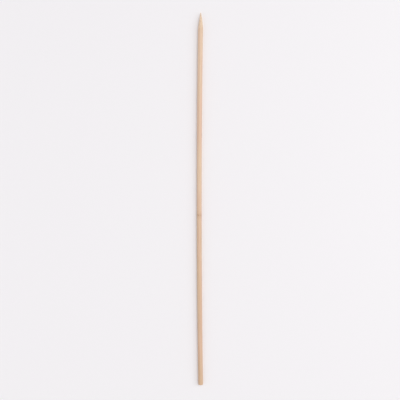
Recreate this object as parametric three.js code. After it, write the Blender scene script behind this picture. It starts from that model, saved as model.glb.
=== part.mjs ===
// A bamboo skewer: a round rod drawn from split bamboo, sawn square at one end and ground to a point at
// the other. Millimetres. It lies on its side on Z = 0, with the point towards +X and its middle over the
// origin.
import * as THREE from "three";

// Sizes of the blank.
const length = 300; // sawn end to tip
const diameter = 4; // as it leaves the drawing die
const bow = 1.2; // how far the middle stands sideways of a line between the ends

// Sizes of the ground point.
const pointLength = 13; // shoulder to tip
const pointBulge = 0.14; // how far the side of the point stands out from a straight cone
const noseRadius = 0.28; // the tip is left blunt, so that it doesn't split

// The rim round the sawn end is worn round by the polishing drum.
const rimRadius = 0.3;

// How finely the surface is stepped.
const sides = 24;
const shaftRings = 12;
const pointRings = 14;
const arcRings = 4;

const shaftRadius = diameter / 2;
const shoulder = length - pointLength;

// A quarter turn from startAngle, as points of a profile of (radius, distance along the skewer).
function quarterTurn(centreRadius, centreAlong, radius, startAngle) {
  const arc = new THREE.EllipseCurve(
    centreRadius, centreAlong, radius, radius, startAngle, startAngle + Math.PI / 2);
  return arc.getPoints(arcRings);
}

// The sawn face and its worn rim, from the axis out to the shaft.
function sawnEnd() {
  const rim = quarterTurn(shaftRadius - rimRadius, rimRadius, rimRadius, -Math.PI / 2);
  return [new THREE.Vector2(0, 0), ...rim];
}

// The straight shaft, in rings that the bow can bend.
function shaft() {
  const run = new THREE.LineCurve(
    new THREE.Vector2(shaftRadius, rimRadius), new THREE.Vector2(shaftRadius, shoulder));
  return run.getPoints(shaftRings).slice(1);
}

// The ground point: a cone whose side is a little full, as a belt grinder leaves it.
function groundPoint() {
  const foot = new THREE.Vector2(shaftRadius, shoulder);
  const neck = new THREE.Vector2(noseRadius, length - noseRadius);
  const outwards = new THREE.Vector2(neck.y - foot.y, foot.x - neck.x).normalize();
  const middle = foot.clone().add(neck).multiplyScalar(0.5);
  // A quadratic curve passes halfway between its chord and its handle.
  const handle = middle.addScaledVector(outwards, 2 * pointBulge);
  return new THREE.QuadraticBezierCurve(foot, handle, neck).getPoints(pointRings).slice(1);
}

// The blunt nose, from the side of the point in to the axis.
function nose() {
  const arc = quarterTurn(0, length - noseRadius, noseRadius, 0).slice(1, -1);
  return [...arc, new THREE.Vector2(0, length)];
}

// Bends a skewer that stands along Y into a shallow arc in the XY plane, with both ends left in place.
function bend(geometry) {
  const position = geometry.getAttribute("position");
  for (let i = 0; i < position.count; i++) {
    const fromMiddle = (2 * position.getY(i)) / length - 1;
    position.setX(i, position.getX(i) - bow * (1 - fromMiddle * fromMiddle));
  }
}

// Lays the skewer down along X and sets its underside on Z = 0, centred on the origin.
function layDown(geometry) {
  geometry.rotateZ(-Math.PI / 2);
  geometry.computeBoundingBox();
  const { min, max } = geometry.boundingBox;
  geometry.translate(-(min.x + max.x) / 2, -(min.y + max.y) / 2, -min.z);
}

function skewer() {
  const profile = [...sawnEnd(), ...shaft(), ...groundPoint(), ...nose()];
  // Half a side of turn puts a flat of the section underneath.
  const geometry = new THREE.LatheGeometry(profile, sides, Math.PI / sides);
  bend(geometry);
  layDown(geometry);
  geometry.computeVertexNormals();
  const bamboo = new THREE.MeshStandardMaterial({ color: "#dec1a4", roughness: 0.6, metalness: 0 });
  const mesh = new THREE.Mesh(geometry, bamboo);
  mesh.name = "skewer";
  return mesh;
}

const part = new THREE.Group();
part.add(skewer());

export default part;
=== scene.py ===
# A bamboo skewer on a pale floor, looked down on with its point up the picture.
import math

import bpy
from mathutils import Matrix, Vector


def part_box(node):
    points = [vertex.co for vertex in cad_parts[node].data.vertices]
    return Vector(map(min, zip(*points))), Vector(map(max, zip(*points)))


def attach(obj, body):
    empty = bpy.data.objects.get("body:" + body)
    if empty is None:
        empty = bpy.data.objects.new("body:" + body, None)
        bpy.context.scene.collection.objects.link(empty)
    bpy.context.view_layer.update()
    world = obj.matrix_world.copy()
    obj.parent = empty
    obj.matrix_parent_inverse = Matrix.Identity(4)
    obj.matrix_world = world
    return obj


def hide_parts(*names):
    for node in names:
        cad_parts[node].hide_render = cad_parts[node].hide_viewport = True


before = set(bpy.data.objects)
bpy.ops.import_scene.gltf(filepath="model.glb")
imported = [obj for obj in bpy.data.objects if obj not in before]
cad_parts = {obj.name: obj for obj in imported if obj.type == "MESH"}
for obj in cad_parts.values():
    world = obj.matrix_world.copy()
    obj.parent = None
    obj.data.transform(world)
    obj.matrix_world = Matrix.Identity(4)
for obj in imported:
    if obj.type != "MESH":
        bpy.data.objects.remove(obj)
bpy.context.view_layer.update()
nodeLow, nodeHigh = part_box("skewer")
print("frame loaded")

mm = 0.001  # patterns and small sizes are given in millimetres, Blender's own are metres


# Small helpers for node trees, of both kinds.
def srgb(red, green, blue):
    linear = []
    for channel in (red, green, blue):
        share = channel / 255
        linear.append(share / 12.92 if share <= 0.04045 else ((share + 0.055) / 1.055) ** 2.4)
    return (*linear, 1.0)


def shownSocket(sockets, name):
    for socket in sockets:
        if socket.enabled and name in (socket.name, socket.identifier):
            return socket
    raise KeyError(name)


def join(tree, value, socket):
    # value is a number, a colour, a vector, or another node's output
    if isinstance(value, Field):
        value = value.socket
    if isinstance(value, bpy.types.NodeSocket):
        tree.links.new(value, socket)
    else:
        socket.default_value = value


def addNode(tree, kind, inputs=None, **settings):
    made = tree.nodes.new(kind)
    for name, value in settings.items():
        setattr(made, name, value)
    for name, value in (inputs or {}).items():
        join(tree, value, shownSocket(made.inputs, name))
    return made


class Field:
    # a node's output that can be used in a sum, each sign being a Math node
    def __init__(self, tree, socket):
        self.tree = tree
        self.socket = socket

    def math(self, operation, *others):
        made = self.tree.nodes.new("ShaderNodeMath")
        made.operation = operation
        for value, socket in zip((self, *others), made.inputs):
            join(self.tree, value, socket)
        return Field(self.tree, made.outputs["Value"])

    def __add__(self, other):
        return self.math("ADD", other)

    __radd__ = __add__

    def __sub__(self, other):
        return self.math("SUBTRACT", other)

    def __rsub__(self, other):
        return self * -1 + other

    def __mul__(self, other):
        return self.math("MULTIPLY", other)

    def __truediv__(self, other):
        return self.math("DIVIDE", other)

    def __pow__(self, other):
        return self.math("POWER", other)


def vectorOf(tree, x, y, z):
    return Field(tree, addNode(tree, "ShaderNodeCombineXYZ", {"X": x, "Y": y, "Z": z}).outputs["Vector"])


def partsOf(tree, vector):
    parts = addNode(tree, "ShaderNodeSeparateXYZ", {"Vector": vector}).outputs
    return [Field(tree, parts[axis]) for axis in "XYZ"]


def noiseAt(tree, x, y, z, detail=2.0, roughness=0.5):
    # from 0 to 1, about 0.5 in the middle
    inputs = {"Vector": vectorOf(tree, x, y, z), "Scale": 1.0, "Detail": detail, "Roughness": roughness}
    return Field(tree, addNode(tree, "ShaderNodeTexNoise", inputs).outputs[0])


def smoothStep(tree, value, low, high):
    inputs = {"Value": value, "From Min": low, "From Max": high, "To Min": 0.0, "To Max": 1.0}
    made = addNode(tree, "ShaderNodeMapRange", inputs, interpolation_type="SMOOTHSTEP")
    return Field(tree, made.outputs["Result"])


def bell(value, width):
    # 1 where the value is 0, and close to 0 from twice the width on
    scaled = value / width
    return (scaled * scaled * -1).math("EXPONENT")


def newTree(name, kind, inputs, outputs):
    # inputs and outputs map a socket's name to its type, or to (type, default)
    tree = bpy.data.node_groups.new(name, kind)
    for side, sockets in (("INPUT", inputs), ("OUTPUT", outputs)):
        for label, given in sockets.items():
            socketType, default = given if isinstance(given, tuple) else (given, None)
            made = tree.interface.new_socket(name=label, in_out=side, socket_type="NodeSocket" + socketType)
            if default is not None:
                made.default_value = default
    entry = tree.nodes.new("NodeGroupInput")
    given = {socket.name: Field(tree, socket) for socket in entry.outputs if socket.name}
    leaving = tree.nodes.new("NodeGroupOutput")
    return tree, given, leaving


def evaluated(tree, name, values):
    # runs a Geometry Nodes tree with the given inputs and returns its result as a plain mesh object
    carrier = bpy.data.objects.new(name, bpy.data.meshes.new(name + "Start"))
    bpy.context.scene.collection.objects.link(carrier)
    modifier = carrier.modifiers.new(tree.name, "NODES")
    modifier.node_group = tree
    for socket in tree.interface.items_tree:
        if socket.in_out == "INPUT" and socket.name in values:
            modifier[socket.identifier] = values[socket.name]
    graph = bpy.context.evaluated_depsgraph_get()
    mesh = bpy.data.meshes.new_from_object(
        carrier.evaluated_get(graph), preserve_all_data_layers=True, depsgraph=graph)
    mesh.name = name
    carrier.modifiers.remove(modifier)
    carrier.data = mesh
    return carrier


# Bamboo. Its colour, bundles and fibres are worked out from a point's place in the straight rod, in
# millimetres, which every piece carries as the attribute grainPlace.
bambooTones = {
    "tan": srgb(223, 193, 162),
    "pink": srgb(227, 189, 167),
    "pale": srgb(236, 211, 184),
    "fibre": srgb(196, 156, 122),
    "bundle": srgb(168, 124, 88),
    "cut": srgb(231, 204, 175),
    "deep": srgb(204, 166, 131),
}

# a spacing is across the rod and a run is along it
bambooSizes = {
    "bundleSpacing": 0.58,
    "bundleEdges": (0.13, 0.3),  # the smallest and the largest dot, as shares of the spacing
    "strandSpacing": 0.19,
    "strandEdges": (0.1, 0.34),
    "fibreSpacing": 0.11,
    "fibreRun": 18.0,
    "streakSpacing": 0.5,
    "streakRun": 50.0,
    "patchSpacing": 2.6,
    "patchRun": 42.0,
    "wander": 1.4,
    "wanderSpread": 0.3,
    "wanderRun": 60.0,
    "skinFromTo": (-2.4, 1.8),  # up the rod, from the culm's inside to its skin
    "nodeAt": 141.0,  # from the sawn end to the culm's joint
    "nodeWidth": 2.2,
    "nodeWaver": 2.4,
    "nodeSpread": 1.1,
    "ringWidth": 0.45,
    "kink": 0.9,  # how far the fibres swerve round the joint
    "kinkRun": 4.0,
    "kinkStep": 2.0,
    "driftFromTo": (-30.0, 290.0),  # the tone drifts between these places along the rod
}

# a pair says how strong its noise is where the effect begins and where it is full
bambooShares = {
    "patch": (0.4, 0.64),
    "streak": (0.5, 0.72),
    "fibre": (0.52, 0.72),
    "strand": (0.35, 1.0),
    "ring": (0.35, 0.6),
    "bundleLeast": 0.35,
    "bundleNearSkin": 0.4,
    "bundleByChance": 0.25,
    "strandTone": 0.55,
    "ringTone": 0.42,
    "nodeTone": 0.16,
    "deepTone": 0.42,
    "paleTone": 0.22,
}


def mixTones(tree, share, first, second):
    made = tree.nodes.new("ShaderNodeMix")
    made.data_type = "RGBA"
    join(tree, share, made.inputs[0])
    join(tree, first, made.inputs[6])
    join(tree, second, made.inputs[7])
    return made.outputs[2]


def dotsAcross(tree, across, up, spacing, edges):
    # a dot with soft edges in each cell of the cross-section, and a random number for each cell
    smallest, largest = edges
    softness = 0.35
    cell = vectorOf(tree, across / spacing, up / spacing, 0.0)
    inputs = {"Vector": cell, "Scale": 1.0, "Randomness": 0.85}
    nearest = addNode(tree, "ShaderNodeTexVoronoi", inputs, voronoi_dimensions="2D")
    sizeDraw, toneDraw, _ = partsOf(tree, nearest.outputs["Color"])
    edge = smallest + sizeDraw * (largest - smallest)
    distance = Field(tree, nearest.outputs["Distance"])
    return 1 - smoothStep(tree, distance, edge * softness, edge), toneDraw


def bambooGrain():
    tree, given, leaving = newTree(
        "bambooGrain", "ShaderNodeTree",
        {
            "Place": "Vector",
            "Ground": ("Color", bambooTones["tan"]),
            "Warm": ("Color", bambooTones["pink"]),
            "Pale": ("Color", bambooTones["pale"]),
            "Fibre": ("Color", bambooTones["fibre"]),
            "Bundle": ("Color", bambooTones["bundle"]),
            "Deep": ("Color", bambooTones["deep"]),
            "Bundle Strength": ("Float", 0.5),
            "Fibre Strength": ("Float", 0.5),
        },
        {"Colour": "Color", "Bundles": "Float", "Fibres": "Float"})
    sizes = bambooSizes
    shares = bambooShares
    along, across, up = partsOf(tree, given["Place"])

    # the grain wanders slowly, so that streaks taper where they leave the surface, and bends at the
    # joint; a number added to a noise's place only takes it from another part of the noise
    slow = along / sizes["wanderRun"]
    spread = [across * sizes["wanderSpread"], up * sizes["wanderSpread"]]
    sideways = (noiseAt(tree, slow, *spread) - 0.5) * sizes["wander"]
    upwards = (noiseAt(tree, slow + 40, *spread) - 0.5) * sizes["wander"]
    kink = bell(along - sizes["nodeAt"], sizes["kinkRun"]) * sizes["kink"]
    quick = along / sizes["kinkStep"]
    kinkedSideways = (noiseAt(tree, quick, across, up) - 0.5) * kink
    kinkedUpwards = (noiseAt(tree, quick + 20, across, up) - 0.5) * kink
    across = across + sideways + kinkedSideways
    up = up + upwards + kinkedUpwards

    # bundles, and thin strands between them: dots across the rod that run its whole length
    nearSkin = smoothStep(tree, up, *sizes["skinFromTo"])
    bundleDots, bundleDraw = dotsAcross(tree, across, up, sizes["bundleSpacing"], sizes["bundleEdges"])
    strandDots, strandDraw = dotsAcross(tree, across + 5, up, sizes["strandSpacing"], sizes["strandEdges"])
    byPlace = shares["bundleLeast"] + nearSkin * shares["bundleNearSkin"]
    bundles = bundleDots * (byPlace + bundleDraw * shares["bundleByChance"])
    strands = strandDots * smoothStep(tree, strandDraw, *shares["strand"]) * shares["strandTone"]
    bundles = bundles.math("MAXIMUM", strands)

    def grainNoise(name, detail=2.0, roughness=0.5, apart=0):
        spacing = sizes[name + "Spacing"]
        place = [along / sizes[name + "Run"], across / spacing, up / spacing + apart]
        return noiseAt(tree, *place, detail, roughness)

    fibres = grainNoise("fibre", 3.0, 0.6)
    streaks = grainNoise("streak")
    patches = grainNoise("patch", apart=17)

    # the joint is a thin brown ring in a wider, fainter one, both ragged and broken in places
    ragged = noiseAt(tree, across * sizes["nodeSpread"], up * sizes["nodeSpread"], 3.0) - 0.5
    fromJoint = along - sizes["nodeAt"] + ragged * sizes["nodeWaver"]
    broken = smoothStep(tree, noiseAt(tree, across, up, 8.0), *shares["ring"])
    ring = bell(fromJoint, sizes["ringWidth"]) * broken
    joint = ring * shares["ringTone"] + bell(fromJoint, sizes["nodeWidth"]) * shares["nodeTone"]

    colour = mixTones(tree, smoothStep(tree, patches, *shares["patch"]), given["Ground"], given["Warm"])
    colour = mixTones(tree, smoothStep(tree, streaks, *shares["streak"]), colour, given["Pale"])
    # deeper towards the sawn end and paler towards the point
    towardsPoint = smoothStep(tree, along, *sizes["driftFromTo"])
    colour = mixTones(tree, (1 - towardsPoint) * shares["deepTone"], colour, given["Deep"])
    colour = mixTones(tree, towardsPoint * shares["paleTone"], colour, given["Pale"])
    isFibre = smoothStep(tree, fibres, *shares["fibre"]) * given["Fibre Strength"]
    colour = mixTones(tree, isFibre, colour, given["Fibre"])
    colour = mixTones(tree, bundles * given["Bundle Strength"], colour, given["Bundle"])
    colour = mixTones(tree, joint, colour, given["Bundle"])

    join(tree, colour, leaving.inputs["Colour"])
    join(tree, bundles, leaving.inputs["Bundles"])
    join(tree, fibres, leaving.inputs["Fibres"])
    return tree


grainGroup = bambooGrain()


# Fibres stand up and bundles lie low. A rate is how quickly the marks follow one another: the
# grinder's rings along the point, and the saw's marks up the sawn face.
reliefSizes = {
    "fibres": 0.7,
    "bundles": -0.25,
    "ringRate": 7.0,
    "sawRate": 11.0,
    "sawDrift": 0.2,
    "markSpread": 0.7,
    "roughnessSpread": 0.2,
    "gloss": 0.35,
}


def bambooMaterial(name, values, roughness, markHeight, bumpDepth):
    # values go to the grain group; markHeight adds the tool's marks to the relief
    sizes = reliefSizes
    material = bpy.data.materials.new(name)
    material.use_nodes = True
    tree = material.node_tree
    surface = tree.nodes["Principled BSDF"]
    place = addNode(tree, "ShaderNodeAttribute", attribute_name="grainPlace").outputs["Vector"]
    grain = tree.nodes.new("ShaderNodeGroup")
    grain.node_tree = grainGroup
    for label, value in {"Place": place, **values}.items():
        join(tree, value, grain.inputs[label])
    bundles = Field(tree, grain.outputs["Bundles"])
    fibres = Field(tree, grain.outputs["Fibres"])
    relief = fibres * sizes["fibres"] + bundles * sizes["bundles"]
    if markHeight:
        along, across, up = partsOf(tree, place)
        spread = sizes["markSpread"]
        ringMarks = noiseAt(tree, along * sizes["ringRate"], across * spread, up * spread, 3.0)
        sawMarks = noiseAt(tree, along * sizes["sawDrift"], across * spread, up * sizes["sawRate"], 3.0)
        relief = relief + (ringMarks + sawMarks) * markHeight
    bump = addNode(tree, "ShaderNodeBump", {"Height": relief, "Distance": bumpDepth * mm, "Strength": 1.0})
    uneven = fibres * sizes["roughnessSpread"] + (roughness - sizes["roughnessSpread"] / 2)
    join(tree, grain.outputs["Colour"], surface.inputs["Base Color"])
    join(tree, uneven, surface.inputs["Roughness"])
    join(tree, bump.outputs["Normal"], surface.inputs["Normal"])
    surface.inputs["Specular IOR Level"].default_value = sizes["gloss"]
    return material


polished = bambooMaterial(
    "polishedBamboo", {"Bundle Strength": 0.42, "Fibre Strength": 0.4},
    roughness=0.55, markHeight=0, bumpDepth=0.03)
cut = bambooMaterial(
    "cutBamboo",
    {
        "Ground": bambooTones["cut"],
        "Warm": bambooTones["pale"],
        "Bundle Strength": 0.7,
        "Fibre Strength": 0.3,
    },
    roughness=0.75, markHeight=0.5, bumpDepth=0.03)
frayed = bambooMaterial(
    "frayedBamboo", {"Ground": bambooTones["pale"], "Bundle Strength": 0.2, "Fibre Strength": 0.2},
    roughness=0.7, markHeight=0, bumpDepth=0.01)
print("bamboo materials made")


# The rod. Its length, thickness and bow are the frame's, and all of it is in millimetres and radians.
rod = {
    "Length": (nodeHigh.x - nodeLow.x) / mm,
    "Radius": (nodeHigh.z - nodeLow.z) / mm / 2,
    "Bow": (nodeHigh.y - nodeLow.y - (nodeHigh.z - nodeLow.z)) / mm,
    "Point Length": 13.0,
    "Point Bulge": 0.14,
    "Nose Radius": 0.28,
    "Rim Radius": 0.3,
    "Sides": 112,
    "End Rings": 26,
    "Shaft Rings": 630,
    "Point Rings": 120,
    "Out Of Round": 0.05,
    "Round Spread": 0.7,  # a spread is how often a noise changes round the rod, a run how slowly along it
    "Round Run": 60.0,
    "Ridge Depth": 0.035,
    "Ridge Spread": 5.5,
    "Ridge Run": 35.0,
    "Groove Depth": 0.05,
    "Groove Spread": 6.0,
    "Groove Run": 16.0,
    "Joint At": bambooSizes["nodeAt"],
    "Joint Swell": 0.025,
    "Joint Width": 2.2,
    "Grinding Offset": 0.1,
    "Grinding Side": 2.1,
    "Facets": 7.0,
    "Facet Depth": 0.03,
    "Facet Twist": 0.12,
    "Scratch Depth": 0.008,
    "Scratch Rate": 6.0,
    "Saw Roughness": 0.03,
}


def ringsAndSides(tree, rings, sides):
    # a flat sheet to be rolled up: its share along and its angle round, for each vertex
    grid = addNode(tree, "GeometryNodeMeshGrid", {
        "Size X": 1.0, "Size Y": 1.0, "Vertices X": rings, "Vertices Y": sides + 1})
    x, y, _ = partsOf(tree, addNode(tree, "GeometryNodeInputPosition").outputs["Position"])
    return grid.outputs["Mesh"], x + 0.5, (y + 0.5) * math.tau


def storeField(tree, geometry, name, kind, value):
    inputs = {"Geometry": geometry, "Name": name}
    made = addNode(tree, "GeometryNodeStoreNamedAttribute", inputs, data_type=kind, domain="POINT")
    join(tree, value, shownSocket(made.inputs, "Value"))
    return made.outputs["Geometry"]


def shaftRadius(tree, given, along, angle):
    # the drawn surface: out of round, ridged by fibres, grooved where a bundle tore out, swollen at the joint
    cosine = angle.math("COSINE")
    sine = angle.math("SINE")

    def roundNoise(name, detail=2.0, apart=0):
        spread = given[name + " Spread"]
        return noiseAt(tree, along / given[name + " Run"] + apart, cosine * spread, sine * spread, detail)

    outOfRound = roundNoise("Round") * given["Out Of Round"]
    ridges = roundNoise("Ridge") * given["Ridge Depth"]
    tornFrom, tornTo = 0.66, 0.8  # where the noise is this strong, a groove begins and is full
    torn = smoothStep(tree, roundNoise("Groove", 1.0, apart=9), tornFrom, tornTo)
    swell = bell(along - given["Joint At"], given["Joint Width"]) * given["Joint Swell"]
    full = given["Radius"] - given["Joint Swell"] + swell
    return full - outOfRound - ridges - torn * given["Groove Depth"]


def coneRadius(tree, given, fromTip, angle):
    # the ground point: a full-sided cone, a little off the rod's middle, with soft facets and fine rings
    nose = given["Nose Radius"]
    pastShoulder = 1.3  # the cone goes on this far past the shoulder, and then as a tube
    share = ((fromTip - nose) / (given["Point Length"] - nose)).math("MINIMUM", pastShoulder)
    bulge = given["Point Bulge"] * 4 * share * (1 - share)
    cone = nose + (given["Radius"] - nose) * share + bulge
    inNose = (nose - fromTip).math("MAXIMUM", 0)
    ball = (nose * nose - inNose * inNose).math("MAXIMUM", 0).math("SQRT")
    isNose = fromTip.math("LESS_THAN", nose)
    smooth = ball * isNose + cone * (1 - isNose)

    # the tip itself is left smooth
    smoothTo, unevenFrom = 0.3, 5.0
    ramp = smoothStep(tree, fromTip, smoothTo, unevenFrom)
    offset = (angle - given["Grinding Side"]).math("COSINE") * given["Grinding Offset"]
    wave = (angle * (given["Facets"] / 2) + fromTip * given["Facet Twist"]).math("SINE")
    facets = wave.math("ABSOLUTE") * given["Facet Depth"]
    scratches = noiseAt(tree, fromTip * given["Scratch Rate"], angle.math("COSINE"), angle.math("SINE"))
    return smooth + (offset + facets - scratches * given["Scratch Depth"] - given["Facet Depth"]) * ramp


def rolledUp(tree, given, mesh, along, drawnRadius, surfaceRadius, angle):
    # keeps each vertex's place in the straight rod, then sets it on the real surface
    cosine = angle.math("COSINE")
    sine = angle.math("SINE")
    place = vectorOf(tree, along, drawnRadius * cosine, drawnRadius * sine)
    kept = storeField(tree, mesh, "grainPlace", "FLOAT_VECTOR", place)
    surface = vectorOf(tree, along, surfaceRadius * cosine, surfaceRadius * sine)
    return kept, surface


def laidDownGroup():
    # bends a straight rod in millimetres sideways and lays it down in metres, its middle at the origin
    tree, given, leaving = newTree(
        "laidDown", "GeometryNodeTree",
        {"Geometry": "Geometry", "Length": "Float", "Radius": "Float", "Bow": "Float"},
        {"Geometry": "Geometry"})
    x, y, z = partsOf(tree, addNode(tree, "GeometryNodeInputPosition").outputs["Position"])
    fromMiddle = x * 2 / given["Length"] - 1
    sideways = given["Bow"] * (0.5 - fromMiddle * fromMiddle)
    laid = vectorOf(tree, (x - given["Length"] / 2) * mm, (y + sideways) * mm, (z + given["Radius"]) * mm)
    bent = addNode(tree, "GeometryNodeSetPosition", {"Geometry": given["Geometry"], "Position": laid})
    smooth = addNode(tree, "GeometryNodeSetShadeSmooth", {"Geometry": bent.outputs[0]})
    join(tree, smooth.outputs[0], leaving.inputs["Geometry"])
    return tree


laidDownTree = laidDownGroup()


def laidDown(tree, given, geometry):
    made = tree.nodes.new("GeometryNodeGroup")
    made.node_tree = laidDownTree
    join(tree, geometry, made.inputs["Geometry"])
    for label in ("Length", "Radius", "Bow"):
        join(tree, given[label], made.inputs[label])
    return made.outputs["Geometry"]


def drawnRodTree():
    inputs = {"Polished": "Material", "Cut": "Material"}
    for label, value in rod.items():
        inputs[label] = ("Int" if isinstance(value, int) else "Float", value)
    tree, given, leaving = newTree("drawnRod", "GeometryNodeTree", inputs, {"Geometry": "Geometry"})
    sections = []  # mesh, place along, radius as drawn, radius of the surface, angle, is it a cut face

    # sawn end: a flat face, then a worn rim
    mesh, share, angle = ringsAndSides(tree, given["End Rings"], given["Sides"])
    faceShare = 0.72  # of the rings
    sawSpread, sawRate = 1.2, 5  # the saw's marks run across the face
    onFace = (share / faceShare).math("MINIMUM", 1)
    turn = (share - faceShare).math("MAXIMUM", 0) * (math.pi / 2 / (1 - faceShare))
    rim = given["Rim Radius"]
    reach = (given["Radius"] - rim) * onFace + rim * turn.math("SINE")
    along = rim * (1 - turn.math("COSINE"))
    uneven = shaftRadius(tree, given, along, angle) / given["Radius"]
    across = reach * angle.math("COSINE") * sawSpread
    up = reach * angle.math("SINE") * sawRate
    fading = 1 - onFace ** 6  # towards the rim
    depth = noiseAt(tree, across, up, 0.0, 3.0) * given["Saw Roughness"] * fading
    isFace = 1 - share.math("GREATER_THAN", faceShare)
    sections.append((mesh, along + depth, reach, reach * uneven, angle, isFace))

    # shaft
    mesh, share, angle = ringsAndSides(tree, given["Shaft Rings"], given["Sides"])
    beforeShoulder = 3
    pointSpan = given["Point Length"] + beforeShoulder
    along = rim + (given["Length"] - pointSpan - rim) * share
    drawn = shaftRadius(tree, given, along, angle)
    sections.append((mesh, along, given["Radius"], drawn, angle, 0.0))

    # ground point, from just before its shoulder
    mesh, share, angle = ringsAndSides(tree, given["Point Rings"], given["Sides"])
    crowding = 1.6  # the rings lie closer towards the tip
    fromTip = pointSpan * (1 - share) ** crowding
    along = given["Length"] - fromTip
    drawn = shaftRadius(tree, given, along, angle)
    ground = coneRadius(tree, given, fromTip, angle).math("MAXIMUM", 0)
    surface = drawn.math("MINIMUM", ground)
    sections.append((mesh, along, surface, surface, angle, ground.math("LESS_THAN", drawn)))

    joined = tree.nodes.new("GeometryNodeJoinGeometry")
    for mesh, along, drawnRadius, surfaceRadius, angle, isCut in sections:
        kept, surface = rolledUp(tree, given, mesh, along, drawnRadius, surfaceRadius, angle)
        kept = storeField(tree, kept, "isCut", "FLOAT", isCut)
        moved = addNode(tree, "GeometryNodeSetPosition", {"Geometry": kept, "Position": surface})
        tree.links.new(moved.outputs["Geometry"], joined.inputs[0])

    # the rolled-up sheets are sewn together, and their faces turned outwards
    seam = 0.0005
    closed = addNode(tree, "GeometryNodeMergeByDistance", {"Geometry": joined.outputs[0], "Distance": seam})
    outwards = addNode(tree, "GeometryNodeFlipFaces", {"Mesh": closed.outputs[0]})
    laid = laidDown(tree, given, outwards.outputs[0])
    isCut = addNode(tree, "GeometryNodeInputNamedAttribute", {"Name": "isCut"}, data_type="FLOAT")
    isCut = Field(tree, shownSocket(isCut.outputs, "Attribute")).math("GREATER_THAN", 0.5)
    real = addNode(tree, "GeometryNodeRealizeInstances", {"Geometry": laid})
    coat = addNode(tree, "GeometryNodeSetMaterial", {
        "Geometry": real.outputs[0], "Material": given["Polished"]})
    coat = addNode(tree, "GeometryNodeSetMaterial", {
        "Geometry": coat.outputs[0], "Selection": isCut, "Material": given["Cut"]})
    join(tree, coat.outputs[0], leaving.inputs["Geometry"])
    return tree


skewerRod = evaluated(drawnRodTree(), "skewer_rod", {**rod, "Polished": polished, "Cut": cut})
print("rod made:", len(skewerRod.data.polygons), "faces")

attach(skewerRod, "root")
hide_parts("skewer")


# Fine fibres that the grinding and the saw have lifted, each a tapering hair rooted in the rod. In
# millimetres; From and To are how far from the sawn end their roots lie.
shoulderFibres = {
    "Count": 11,
    "From": 281.5,
    "To": 291.0,
    "Fibre Length": 2.6,
    "Thickness": 0.035,
    "Lift": 0.16,
    "Facing": 0.0,  # 0 towards the point, half a turn towards the sawn end
    "Seed": 5,
}

sawnFibres = {
    "Count": 9,
    "From": 1.3,
    "To": 2.6,
    "Fibre Length": 1.0,
    "Thickness": 0.04,
    "Lift": 0.05,
    "Facing": math.pi,
    "Seed": 12,
}


def liftedFibresTree():
    inputs = {"Material": "Material"}
    for label, value in {**rod, **shoulderFibres}.items():
        inputs[label] = ("Int" if isinstance(value, int) else "Float", value)
    tree, given, leaving = newTree("liftedFibres", "GeometryNodeTree", inputs, {"Geometry": "Geometry"})

    def drawn(low, high, step):
        made = addNode(tree, "FunctionNodeRandomValue", {"Min": low, "Max": high}, data_type="FLOAT")
        join(tree, given["Seed"] + step, shownSocket(made.inputs, "Seed"))
        return Field(tree, shownSocket(made.outputs, "Value"))

    # one hair along X, its tip curling up, and thin towards the tip
    hair = addNode(tree, "GeometryNodeMeshCone", {
        "Vertices": 6, "Side Segments": 8, "Fill Segments": 1,
        "Radius Top": 0.12, "Radius Bottom": 1.0, "Depth": 1.0})
    x, y, z = partsOf(tree, addNode(tree, "GeometryNodeInputPosition").outputs["Position"])
    lifted = y * given["Thickness"] + z * z * given["Lift"]
    curled = vectorOf(tree, z * given["Fibre Length"], x * given["Thickness"], lifted)
    hair = addNode(tree, "GeometryNodeSetPosition", {"Geometry": hair.outputs["Mesh"], "Position": curled})

    # their roots are scattered over the rod's upper side, sunk into it by half a fibre's thickness
    lowest, highest = math.radians(15), math.radians(165)
    shortest, longest = 0.5, 1.2
    along = drawn(given["From"], given["To"], 0)
    angle = drawn(lowest, highest, 1)
    ground = coneRadius(tree, given, given["Length"] - along, angle)
    surface = shaftRadius(tree, given, along, angle).math("MINIMUM", ground)
    inSurface = surface - given["Thickness"] * 0.5
    roots = addNode(tree, "GeometryNodeMeshLine", {"Count": given["Count"]})
    root = vectorOf(tree, along, inSurface * angle.math("COSINE"), inSurface * angle.math("SINE"))
    roots = addNode(tree, "GeometryNodeSetPosition", {"Geometry": roots.outputs["Mesh"], "Position": root})
    facing = given["Facing"]
    turned = vectorOf(tree, (angle - math.pi / 2) * facing.math("COSINE"), 0.0, facing)
    rotation = addNode(tree, "FunctionNodeEulerToRotation", {"Euler": turned})
    hairs = addNode(tree, "GeometryNodeInstanceOnPoints", {
        "Points": roots.outputs["Geometry"], "Instance": hair.outputs["Geometry"],
        "Rotation": rotation.outputs["Rotation"]})
    join(tree, drawn(shortest, longest, 2), shownSocket(hairs.inputs, "Scale"))
    real = addNode(tree, "GeometryNodeRealizeInstances", {"Geometry": hairs.outputs["Instances"]})
    place = addNode(tree, "GeometryNodeInputPosition").outputs["Position"]
    kept = storeField(tree, real.outputs["Geometry"], "grainPlace", "FLOAT_VECTOR", place)
    laid = laidDown(tree, given, kept)
    coat = addNode(tree, "GeometryNodeSetMaterial", {"Geometry": laid, "Material": given["Material"]})
    join(tree, coat.outputs["Geometry"], leaving.inputs["Geometry"])
    return tree


fibresTree = liftedFibresTree()
for fibreName, fibreValues in {"shoulder_fibres": shoulderFibres, "sawn_fibres": sawnFibres}.items():
    fibres = evaluated(fibresTree, fibreName, {**rod, **fibreValues, "Material": frayed})
    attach(fibres, "root")
    print(fibreName, "made:", len(fibres.data.polygons), "faces")


# Floor, lights and camera.
floorSizes = {"width": 12.0, "tone": srgb(243, 241, 242), "roughness": 0.85, "gloss": 0.1}


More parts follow.
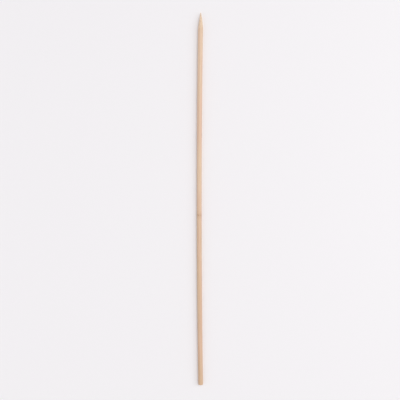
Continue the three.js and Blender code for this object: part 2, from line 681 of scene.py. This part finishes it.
def paleFloor():
    half = floorSizes["width"] / 2
    mesh = bpy.data.meshes.new("floor")
    corners = [(-half, -half, 0), (half, -half, 0), (half, half, 0), (-half, half, 0)]
    mesh.from_pydata(corners, [], [(0, 1, 2, 3)])
    floor = bpy.data.objects.new("floor", mesh)
    bpy.context.scene.collection.objects.link(floor)
    material = bpy.data.materials.new("paleFloor")
    material.use_nodes = True
    surface = material.node_tree.nodes["Principled BSDF"]
    surface.inputs["Base Color"].default_value = floorSizes["tone"]
    surface.inputs["Roughness"].default_value = floorSizes["roughness"]
    surface.inputs["Specular IOR Level"].default_value = floorSizes["gloss"]
    mesh.materials.append(material)


paleFloor()

# a wide sun lights the whole floor alike, and the lamp on the picture's right makes that side brighter
lampSizes = {
    "key": {"kind": "SUN", "place": (0.3, -0.28, 0.95), "size": math.radians(38), "power": 1.12},
    "right": {"kind": "AREA", "place": (0.1, -0.75, 0.55), "size": 0.6, "power": 1.6},
    "left": {"kind": "AREA", "place": (-0.2, 0.8, 0.6), "size": 1.0, "power": 1.0},
}
studioSizes = {"tone": srgb(248, 247, 250), "light": 0.57, "seen": 0.82}


def softLamp(name, kind, place, size, power):
    light = bpy.data.lights.new(name, kind)
    light.energy = power
    if kind == "SUN":
        light.angle = size
    else:
        light.shape = "DISK"
        light.size = size
    lamp = bpy.data.objects.new(name, light)
    lamp.location = place
    lamp.rotation_euler = Vector(place).to_track_quat("Z", "Y").to_euler()
    bpy.context.scene.collection.objects.link(lamp)


for lampName, lampValues in lampSizes.items():
    softLamp(lampName, **lampValues)


def studioWorld():
    # the backdrop is seen as bright as the floor, and lights the skewer a little less than that
    world = bpy.data.worlds.new("studio")
    world.use_nodes = True
    tree = world.node_tree
    background = tree.nodes["Background"]
    background.inputs["Color"].default_value = studioSizes["tone"]
    isSeen = Field(tree, addNode(tree, "ShaderNodeLightPath").outputs["Is Camera Ray"])
    strength = isSeen * (studioSizes["seen"] - studioSizes["light"]) + studioSizes["light"]
    join(tree, strength, background.inputs["Strength"])
    return world


bpy.context.scene.world = studioWorld()
bpy.context.scene.view_settings.view_transform = "Standard"
print("lights set")

cameraSizes = {
    "lens": 85.0,
    "sensor": 36.0,
    "tilt": math.radians(8),  # off the perpendicular, towards the point
    "frameShare": 0.93,  # of the picture's height that the skewer takes
    "aim": 0.003,  # past the middle, towards the point
    "nearest": 0.01,
    "furthest": 20.0,
}


def lookDown():
    sizes = cameraSizes
    tilt = sizes["tilt"]
    back = Vector((math.sin(tilt), 0, math.cos(tilt)))
    up = Vector((math.cos(tilt), 0, -math.sin(tilt)))
    right = up.cross(back)
    seenLength = (nodeHigh.x - nodeLow.x) * math.cos(tilt)
    distance = seenLength / sizes["frameShare"] / (sizes["sensor"] / sizes["lens"])
    target = (nodeLow + nodeHigh) / 2 + Vector((sizes["aim"], 0, 0))
    data = bpy.data.cameras.new("camera")
    data.lens = sizes["lens"]
    data.sensor_width = sizes["sensor"]
    camera = bpy.data.objects.new("camera", data)
    bpy.context.scene.collection.objects.link(camera)
    turned = Matrix((right, up, back)).transposed().to_4x4()
    camera.matrix_world = Matrix.Translation(target + back * distance) @ turned
    data.clip_start = sizes["nearest"]
    data.clip_end = sizes["furthest"]
    bpy.context.scene.camera = camera


lookDown()
print("camera set")
